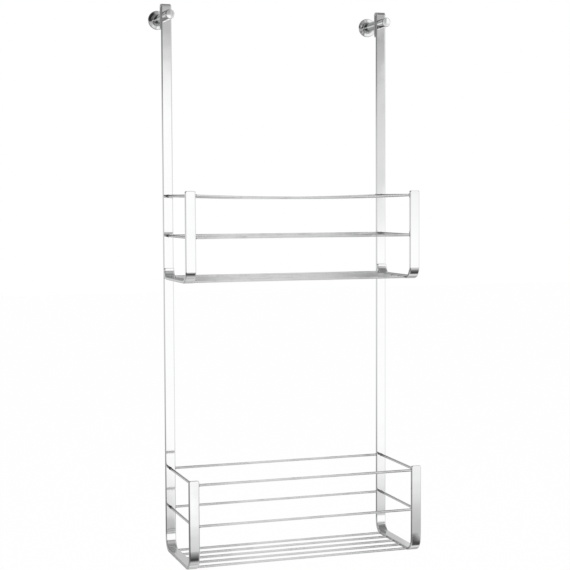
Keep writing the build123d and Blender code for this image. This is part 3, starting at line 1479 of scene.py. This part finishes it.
@dataclass
class HangingPeg:
    """Post, end disc, threaded stud and thumb knob of one side.

    Attributes:
        DOME_SHARES: shares of the knob's radius at which its domed front is drawn.
    """

    DOME_SHARES = (0.75, 0.5, 0.25, 0.1)

    side: Side
    layout: Layout = LAYOUT
    post_radius: float = 6.0 * MM
    post_length: float = 38.0 * MM
    post_flare: float = 2.0 * MM
    flare_fill: float = 0.9
    flare_lip: float = 0.2 * MM
    disc_radius: float = 12.0 * MM
    disc_thickness: float = 3.0 * MM
    disc_dish: float = 0.55 * MM
    stud_radius: float = 4.0 * MM
    stud_in_post: float = 20.0 * MM
    stud_in_knob: float = 13.0 * MM
    bore_radius: float = 4.08 * MM
    bore_end_gap: float = 0.5 * MM
    knob_radius: float = 6.0 * MM
    knob_length: float = 18.0 * MM
    knob_dome: float = 0.2 * MM
    neck_radius: float = 5.1 * MM
    neck_length: float = 1.2 * MM
    seat_gap: float = 0.1 * MM
    # Painted shade: the post and disc behind the strip are coloured darker than the knob.
    post_shade: float = 0.7
    disc_shade: float = 0.35

    @property
    def x(self) -> float:
        """X of the peg's axis."""
        return self.side.value * self.layout.strip_x

    def piece(self, name: str, body: str, profile: list[Corner], rear_shade: float = 0.0) -> TurnedPiece:
        """Describe one turned piece on the peg's axis.

        Args:
            name: its name without the side.
            body: its body without the side.
            profile: its profile.
            rear_shade: how much painted shade darkens it, as on the post and disc behind the strip.

        Returns:
            The piece.
        """
        word = self.side.word
        return TurnedPiece(
            f"{word}_{name}", f"{word}_{body}", self.x, self.layout.peg_height, profile, rear_shade
        )

    def post(self) -> TurnedPiece:
        """Describe the post that rests on the panel.

        Returns:
            The piece.
        """
        seat, end = self.seat_gap, self.post_length
        bore = seat + self.stud_in_post + self.bore_end_gap
        return self.piece("post", "peg", [
            Corner(bore, 0.0),
            Corner(bore, self.bore_radius),
            Corner(seat, self.bore_radius),
            Corner(seat, self.post_radius, rounding=0.6 * MM),
            Corner(end - self.flare_lip, self.post_radius, rounding=self.post_flare * self.flare_fill),
            Corner(end - self.flare_lip, self.post_radius + self.post_flare),
            Corner(end, self.post_radius + self.post_flare),
            Corner(end, 0.0),
        ], self.post_shade)

    def disc(self) -> TurnedPiece:
        """Describe the disc on the post's rear end, its front face dished a little towards the rim.

        Returns:
            The piece.
        """
        front, back = self.post_length, self.post_length + self.disc_thickness
        flat = self.post_radius + self.post_flare
        return self.piece("end_disc", "peg", [
            Corner(front, 0.0),
            Corner(front, flat, rounding=0.6 * MM),
            Corner(front + self.disc_dish, self.disc_radius, rounding=0.8 * MM),
            Corner(back, self.disc_radius, rounding=0.9 * MM),
            Corner(back, 0.0),
        ], self.disc_shade)

    def knob(self) -> TurnedPiece:
        """Describe the thumb knob with its neck and rounded front.

        Returns:
            The piece.
        """
        back = self.layout.strip_front - self.seat_gap
        front = back - self.knob_length
        bore = back - self.stud_in_knob - self.bore_end_gap
        return self.piece("knob", "thumb_knob", [
            Corner(bore, 0.0),
            Corner(bore, self.bore_radius),
            Corner(back, self.bore_radius),
            Corner(back, self.neck_radius, rounding=0.15 * MM),
            Corner(back - self.neck_length, self.neck_radius, rounding=0.2 * MM),
            Corner(back - self.neck_length, self.knob_radius, rounding=0.3 * MM),
            Corner(front + self.knob_dome, self.knob_radius, rounding=1.0 * MM),
            *(Corner(front + self.knob_dome * share**2, self.knob_radius * share)
              for share in self.DOME_SHARES),
            Corner(front, 0.0),
        ])

    def build(self, thread: ThreadTree, chrome: Coat, steel: Coat) -> None:
        """Make the four pieces and hand them to the frame.

        Args:
            thread: the stud's tree.
            chrome: finish of the turned pieces.
            steel: finish of the stud.
        """
        for piece in (self.post(), self.disc(), self.knob()):
            dress_piece(piece.build(), piece.body, piece.node, chrome)
        tip = self.layout.strip_front - self.seat_gap - self.stud_in_knob
        node = f"{self.side.word}_stud"
        values = {
            "Start": (self.x, tip, self.layout.peg_height),
            "Length": self.seat_gap + self.stud_in_post - tip,
            "Radius": self.stud_radius,
            "Finish": steel.material,
        }
        obj = grow(node + "_threaded", thread.tree, values)
        finish_piece(obj, f"{self.side.word}_peg", node)


@dataclass(frozen=True)
class CameraPlace:
    """Where the photograph was taken from, and with what lens."""

    location: tuple[float, float, float] = (-0.5684, -1.7318, -0.2205)
    yaw: float = 18.557
    pitch: float = -3.508
    roll: float = -0.244
    lens: float = 89.29
    sensor: float = 36.0

    def build(self) -> None:
        """Make the camera and set it as the scene's."""
        yaw, pitch, roll = (math.radians(angle) for angle in (self.yaw, self.pitch, self.roll))
        level_share = math.cos(pitch)
        ahead = Vector((math.sin(yaw) * level_share, math.cos(yaw) * level_share, math.sin(pitch)))
        level = Vector((math.cos(yaw), -math.sin(yaw), 0.0))
        above = level.cross(ahead)
        right = math.cos(roll) * level + math.sin(roll) * above
        up = -math.sin(roll) * level + math.cos(roll) * above
        data = bpy.data.cameras.new("photo_camera")
        data.sensor_fit = "AUTO"
        data.sensor_width = self.sensor
        data.lens = self.lens
        data.clip_start, data.clip_end = 0.01, 100.0
        camera = bpy.data.objects.new("photo_camera", data)
        turned = Matrix((right, up, -ahead)).transposed().to_4x4()
        camera.matrix_world = Matrix.Translation(self.location) @ turned
        bpy.context.scene.collection.objects.link(camera)
        bpy.context.scene.camera = camera


@dataclass(frozen=True)
class Panel:
    """Upright slice of the room that chrome mirrors, from left to right of the slice before it.

    Attributes:
        start: X of a mirrored ray at which the slice begins to show.
        full: X at which it has taken over.
        stops: elevation in degrees and brightness there.
    """

    start: float
    full: float
    stops: tuple[tuple[float, float], ...]


@dataclass(frozen=True)
class Lamp:
    """A soft area lamp: its name, its place, its width and height, and its power in watts."""

    name: str
    place: tuple[float, float, float]
    size: tuple[float, float]
    watts: float


# What the far left and the far right of the room show behind the caddy.
FAR_BACK = (
    (-90.0, 0.45), (-40.0, 0.24), (-20.0, 0.30), (-16.0, 0.50), (-12.0, 0.78), (-5.0, 0.90),
    (4.0, 0.86), (10.0, 0.55), (30.0, 0.42), (90.0, 0.25),
)


@dataclass
class Studio:
    """Plain pale room: white to the camera, with soft panels of grey for the chrome to mirror."""

    floor_height: float = -1.35
    floor_size: float = 30.0
    floor_paint: float = 0.95
    floor_glow: float = 0.975
    ambient: float = 0.75
    lamps: tuple[Lamp, ...] = (
        Lamp("front_lamp", (-1.2, -2.4, 1.6), (1.6, 1.2), 26.0),
        Lamp("top_lamp", (0.3, 0.2, 2.2), (2.0, 2.0), 22.0),
    )
    lamp_aim: tuple[float, float, float] = (0.0, 0.0, -0.32)
    front_edge: tuple[float, float] = (-0.62, -0.25)
    back_edge: tuple[float, float] = (0.35, 0.75)
    front: tuple[Panel, ...] = (
        Panel(-1.0, -1.0, (
            (-90.0, 0.50), (-60.0, 0.42), (-42.0, 0.20), (-30.0, 0.06), (-18.0, 0.05),
            (-15.0, 0.22), (-13.3, 0.18), (-12.1, 0.24), (-9.8, 0.45), (-8.0, 0.55), (-1.3, 0.55),
            (2.3, 0.45), (3.6, 0.36), (4.6, 0.05), (12.0, 0.02), (20.0, 0.03), (32.0, 0.07),
            (48.0, 0.22), (90.0, 0.25),
        )),
        Panel(0.07, 0.18, (
            (-90.0, 0.46), (-60.0, 0.45), (-40.0, 0.20), (-14.5, 0.10), (-13.5, 0.30),
            (-13.0, 0.50), (-12.6, 0.68), (-12.0, 0.80), (-11.4, 0.92), (-10.0, 1.0), (3.4, 1.0),
            (4.1, 0.975), (4.8, 0.91), (5.5, 0.77), (6.3, 0.56), (7.5, 0.43), (14.0, 0.34),
            (20.0, 0.36), (27.0, 0.46), (36.0, 0.48), (47.0, 0.40), (60.0, 0.28), (80.0, 0.20),
            (90.0, 0.20),
        )),
        Panel(0.2380, 0.2412, (
            (-90.0, 0.43), (-80.0, 0.44), (-68.0, 0.49), (-58.0, 0.57), (-48.0, 0.44),
            (-40.0, 0.21), (-35.0, 0.09), (-31.0, 0.045), (-28.0, 0.045), (-26.0, 0.09),
            (-22.6, 0.19), (-19.0, 0.31), (-17.0, 0.39), (-15.2, 0.50), (-14.2, 0.64),
            (-13.5, 0.73), (-13.0, 0.97), (-11.5, 1.0), (3.4, 1.0), (4.8, 0.91), (6.3, 0.57),
            (9.0, 0.42), (47.0, 0.40), (90.0, 0.22),
        )),
        Panel(0.258, 0.268, (
            (-90.0, 0.80), (-60.0, 0.78), (-48.0, 0.68), (-38.0, 0.52), (-22.0, 0.46),
            (-15.0, 0.62), (-11.0, 0.88), (-8.0, 0.95), (-1.0, 0.88), (2.0, 0.74), (6.0, 0.62),
            (9.0, 0.62), (20.0, 0.66), (32.0, 0.80), (65.0, 0.84), (90.0, 0.80),
        )),
        Panel(0.280, 0.312, (
            (-90.0, 0.80), (-60.0, 0.76), (-48.0, 0.62), (-38.0, 0.42), (-22.0, 0.38),
            (-15.0, 0.55), (-11.0, 0.88), (-8.0, 0.93), (-1.0, 0.86), (2.0, 0.72), (6.0, 0.55),
            (9.0, 0.48), (20.0, 0.50), (32.0, 0.74), (65.0, 0.82), (90.0, 0.78),
        )),
        Panel(0.350, 0.366, (
            (-90.0, 0.40), (-60.0, 0.20), (-20.0, 0.20), (-14.5, 0.30), (-13.3, 0.47),
            (-12.6, 0.59), (-12.1, 0.70), (-11.3, 0.84), (-10.7, 0.94), (-9.8, 1.0), (-2.0, 1.0),
            (-1.5, 0.95), (-0.9, 0.87), (-0.2, 0.82), (0.7, 0.73), (2.4, 0.72), (4.0, 0.63),
            (5.5, 0.52), (6.3, 0.44), (10.0, 0.34), (18.0, 0.29), (20.5, 0.80), (24.5, 0.80),
            (27.0, 0.25), (41.0, 0.23), (51.0, 0.17), (61.0, 0.17), (75.0, 0.25), (90.0, 0.26),
        )),
        Panel(0.3840, 0.3862, (
            (-90.0, 0.16), (-79.0, 0.11), (-67.0, 0.075), (-56.0, 0.06), (-46.0, 0.053),
            (-36.0, 0.055), (-28.4, 0.06), (-24.6, 0.07), (-22.0, 0.095), (-19.0, 0.17),
            (-16.5, 0.27), (-14.4, 0.36), (-13.5, 0.47), (-12.7, 0.56), (-12.3, 0.69),
            (-11.6, 0.80), (-11.0, 0.88), (-10.4, 0.95), (-9.6, 1.0), (-2.0, 1.0), (0.0, 0.92),
            (0.7, 0.82), (2.4, 0.74), (4.0, 0.75), (6.0, 1.0), (25.0, 1.0), (45.0, 0.60),
            (90.0, 0.26),
        )),
        Panel(0.3964, 0.3980, (
            (-90.0, 0.16), (-84.0, 0.08), (-73.0, 0.03), (-61.0, 0.045), (-49.0, 0.08),
            (-39.0, 0.14), (-29.0, 0.36), (-19.0, 0.68), (-15.0, 0.60), (-13.4, 0.49),
            (-12.7, 0.56), (-12.3, 0.69), (-11.6, 0.80), (-11.0, 0.88), (-10.4, 0.95), (-9.6, 1.0),
            (-2.0, 1.0), (0.0, 0.93), (0.7, 0.86), (2.4, 0.74), (4.0, 0.75), (6.0, 1.0),
            (25.0, 1.0), (45.0, 0.60), (90.0, 0.26),
        )),
        Panel(0.50, 0.70, (
            (-90.0, 0.60), (-14.0, 0.45), (-10.0, 0.80), (-2.0, 0.85), (4.0, 0.75), (12.0, 0.45),
            (90.0, 0.40),
        )),
    )
    back: tuple[Panel, ...] = (
        Panel(-1.0, -1.0, FAR_BACK),
        Panel(-0.62, -0.50, (
            (-90.0, 0.50), (-50.0, 0.45), (-25.0, 0.42), (-15.0, 0.40), (-13.4, 0.26),
            (-12.1, 0.36), (-9.75, 0.60), (-6.0, 0.80), (-3.0, 0.85), (1.0, 0.70), (3.5, 0.42),
            (6.3, 0.28), (20.0, 0.36), (60.0, 0.30), (90.0, 0.25),
        )),
        Panel(-0.33, -0.28, (
            (-90.0, 0.50), (-50.0, 0.45), (-25.0, 0.44), (-14.0, 0.38), (-12.5, 0.36),
            (-11.0, 0.45), (-6.0, 0.62), (-3.0, 0.66), (1.0, 0.55), (3.5, 0.36), (6.3, 0.25),
            (20.0, 0.36), (60.0, 0.30), (90.0, 0.25),
        )),
        Panel(-0.2450, -0.2410, (
            (-90.0, 0.50), (-50.0, 0.45), (-25.0, 0.44), (-14.6, 0.42), (-13.4, 0.07),
            (-12.1, 0.15), (-9.75, 0.42), (-6.0, 0.62), (-3.0, 0.66), (1.0, 0.55), (3.5, 0.36),
            (6.3, 0.25), (20.0, 0.36), (60.0, 0.30), (90.0, 0.25),
        )),
        Panel(-0.20, -0.13, (
            (-90.0, 0.45), (-40.0, 0.22), (-18.0, 0.34), (-13.0, 0.52), (-9.0, 0.76), (-4.0, 0.86),
            (3.0, 0.86), (7.0, 0.66), (11.0, 0.50), (20.0, 0.42), (47.0, 0.40), (90.0, 0.24),
        )),
        Panel(0.14, 0.20, (
            (-90.0, 0.43), (-60.0, 0.58), (-20.0, 0.35), (-3.0, 0.30), (3.0, 0.28), (8.0, 0.46),
            (13.0, 0.55), (36.0, 0.46), (55.0, 0.28), (72.0, 0.20), (90.0, 0.22),
        )),
        Panel(0.263, 0.280, (
            (-90.0, 0.80), (-3.0, 0.80), (1.0, 0.65), (3.0, 0.55), (6.3, 0.55), (12.0, 0.60),
            (20.0, 0.66), (32.0, 0.76), (65.0, 0.80), (90.0, 0.78),
        )),
        Panel(0.350, 0.366, (
            (-90.0, 0.24), (-80.0, 0.33), (-65.0, 0.46), (-45.0, 0.60), (-20.0, 0.40), (-3.0, 0.30),
            (3.0, 0.28), (8.0, 0.46), (13.0, 0.55), (36.0, 0.42), (60.0, 0.22), (90.0, 0.22),
        )),
        Panel(0.384, 0.389, (
            (-90.0, 0.10), (-80.0, 0.14), (-65.0, 0.25), (-45.0, 0.45), (-20.0, 0.40), (-3.0, 0.30),
            (3.0, 0.28), (8.0, 0.55), (13.0, 0.70), (36.0, 0.50), (60.0, 0.26), (90.0, 0.26),
        )),
        Panel(0.50, 0.62, FAR_BACK),
    )
    sides: tuple[Panel, ...] = (
        Panel(-1.0, -1.0, (
            (-90.0, 0.60), (-50.0, 0.42), (-30.0, 0.30), (-20.0, 0.22), (-14.0, 0.07),
            (-11.0, 0.12), (-8.0, 0.45), (-4.0, 0.75), (2.0, 0.75), (5.0, 0.42), (8.0, 0.26),
            (12.0, 0.26), (40.0, 0.35), (90.0, 0.30),
        )),
        Panel(-0.12, 0.10, (
            (-90.0, 0.72), (-40.0, 0.60), (-14.0, 0.50), (-9.0, 0.75), (4.0, 0.80), (12.0, 0.50),
            (40.0, 0.34), (60.0, 0.21), (90.0, 0.19),
        )),
    )

    def build(self) -> None:
        """Make the world, the floor and the lamps."""
        self.build_world()
        self.build_floor()
        for lamp in self.lamps:
            self.build_lamp(lamp)
        bpy.context.scene.view_settings.view_transform = "Standard"

    def bands(self, graph: Graph, height: bpy.types.NodeSocket,
              stops: tuple[tuple[float, float], ...]) -> bpy.types.NodeSocket:
        """Turn a mirrored ray's height into brightness.

        Args:
            graph: the world's graph.
            height: sine of the ray's elevation.
            stops: elevation and brightness pairs.

        Returns:
            The brightness as a colour.
        """
        ramp = graph.add("ShaderNodeValToRGB")
        graph.feed(ramp.inputs["Fac"], graph.math("MULTIPLY_ADD", height, 0.5, 0.5))
        elements = ramp.color_ramp.elements
        while len(elements) < len(stops):
            elements.new(0.5)
        for element, (degrees, level) in zip(elements, stops):
            element.position = 0.5 + 0.5 * math.sin(math.radians(degrees))
            element.color = (level, level, level, 1.0)
        return ramp.outputs["Color"]

    def wall(
        self, graph: Graph, height: bpy.types.NodeSocket, across: bpy.types.NodeSocket,
        panels: tuple[Panel, ...],
    ) -> bpy.types.NodeSocket:
        """Set panels side by side, each passing softly into the next.

        Args:
            graph: the world's graph.
            height: sine of the ray's elevation.
            across: X of the ray.
            panels: the panels, from left to right.

        Returns:
            The brightness as a colour.
        """
        shade = self.bands(graph, height, panels[0].stops)
        for panel in panels[1:]:
            share = graph.span(across, panel.start, panel.full, 0.0, 1.0)
            shade = graph.mix(share, shade, self.bands(graph, height, panel.stops))
        return shade

    def build_world(self) -> None:
        """Make a world that is white to the camera, panelled in mirrors and even for all other light."""
        world = bpy.data.worlds.new("studio")
        world.use_nodes = True
        bpy.context.scene.world = world
        graph = Graph(world.node_tree)
        world.node_tree.nodes.clear()
        ray = graph.add("ShaderNodeSeparateXYZ")
        graph.feed(ray.inputs["Vector"], graph.add("ShaderNodeTexCoord").outputs["Generated"])
        height = ray.outputs["Z"]
        # The ray's heading on the level: -1 towards the front of the room, 1 towards its back.
        level = graph.math("SQRT", graph.math("ADD", graph.math("POWER", ray.outputs["X"], 2.0),
                                              graph.math("POWER", ray.outputs["Y"], 2.0)))
        across = ray.outputs["X"]
        ahead = graph.math("DIVIDE", ray.outputs["Y"], graph.math("MAXIMUM", level, 1e-4))
        front, back, sides = (self.wall(graph, height, across, panels)
                              for panels in (self.front, self.back, self.sides))
        frontward = graph.mix(graph.span(ahead, *self.front_edge, 1.0, 0.0), sides, front)
        around = graph.mix(graph.span(ahead, *self.back_edge, 0.0, 1.0), frontward, back)
        # Mirrors show the panels, the camera sees white, and all other light is even.
        light = graph.add("ShaderNodeLightPath")
        plain = graph.add("ShaderNodeRGB")
        plain.outputs[0].default_value = (self.ambient, self.ambient, self.ambient, 1.0)
        mirrored = graph.mix(light.outputs["Is Glossy Ray"], plain.outputs[0], around)
        white = graph.add("ShaderNodeRGB")
        white.outputs[0].default_value = (1.0, 1.0, 1.0, 1.0)
        seen = graph.mix(light.outputs["Is Camera Ray"], mirrored, white.outputs[0])
        sky = graph.add("ShaderNodeBackground")
        graph.feed(sky.inputs["Color"], seen)
        graph.feed(graph.add("ShaderNodeOutputWorld").inputs["Surface"], sky.outputs["Background"])

    def build_floor(self) -> None:
        """Make the pale floor, white to the camera apart from a share that keeps the shadow."""
        half = self.floor_size / 2
        mesh = bpy.data.meshes.new("floor")
        corners = [(-half, -half), (half, -half), (half, half), (-half, half)]
        mesh.from_pydata([(x, y, self.floor_height) for x, y in corners], [], [(0, 1, 2, 3)])
        floor = new_object("floor", mesh)
        material = bpy.data.materials.new("pale_floor")
        material.use_nodes = True
        graph = Graph(material.node_tree)
        material.node_tree.nodes.clear()
        paint = graph.add("ShaderNodeBsdfDiffuse")
        paint.inputs["Color"].default_value = (self.floor_paint, self.floor_paint, self.floor_paint, 1.0)
        glow = graph.add("ShaderNodeEmission")
        seen = graph.add("ShaderNodeLightPath").outputs["Is Camera Ray"]
        share = graph.math("MULTIPLY", seen, self.floor_glow)
        mixed = graph.add("ShaderNodeMixShader")
        graph.feed(mixed.inputs["Fac"], share)
        graph.feed(mixed.inputs[1], paint.outputs["BSDF"])
        graph.feed(mixed.inputs[2], glow.outputs["Emission"])
        graph.feed(graph.add("ShaderNodeOutputMaterial").inputs["Surface"], mixed.outputs["Shader"])
        mesh.materials.append(material)
        floor.visible_glossy = False

    def build_lamp(self, lamp: Lamp) -> None:
        """Make one soft area lamp that points at the caddy.

        Args:
            lamp: the lamp.
        """
        data = bpy.data.lights.new(lamp.name, "AREA")
        data.shape = "RECTANGLE"
        data.size, data.size_y = lamp.size
        data.energy = lamp.watts
        obj = bpy.data.objects.new(lamp.name, data)
        obj.location = lamp.place
        obj.rotation_mode = "QUATERNION"
        obj.rotation_quaternion = (Vector(self.lamp_aim) - Vector(lamp.place)).to_track_quat("-Z", "Y")
        obj.visible_glossy = False
        bpy.context.scene.collection.objects.link(obj)


def main() -> None:
    """Build the caddy piece by piece, then the room and the camera."""
    logging.basicConfig(level=logging.INFO, format="%(name)s: %(message)s")
    effects = SurfaceEffects()
    finishes = (BAR_CHROME, WIRE_CHROME, PEG_CHROME, STUD_STEEL)
    coats = {finish.slot: finish.build(effects) for finish in finishes}
    wire_tree = WireTree()
    thread_tree = ThreadTree()
    for side in Side:
        Strip(side).build(coats["bar_chrome"])
        Bracket(side).build(coats["bar_chrome"])
        HangingPeg(side).build(thread_tree, coats["peg_chrome"], coats["stud_steel"])
    for tier in Tier:
        Basket(tier).build(wire_tree, coats["wire_chrome"])
    Studio().build()
    CameraPlace().build()


if __name__ == "__main__":
    main()
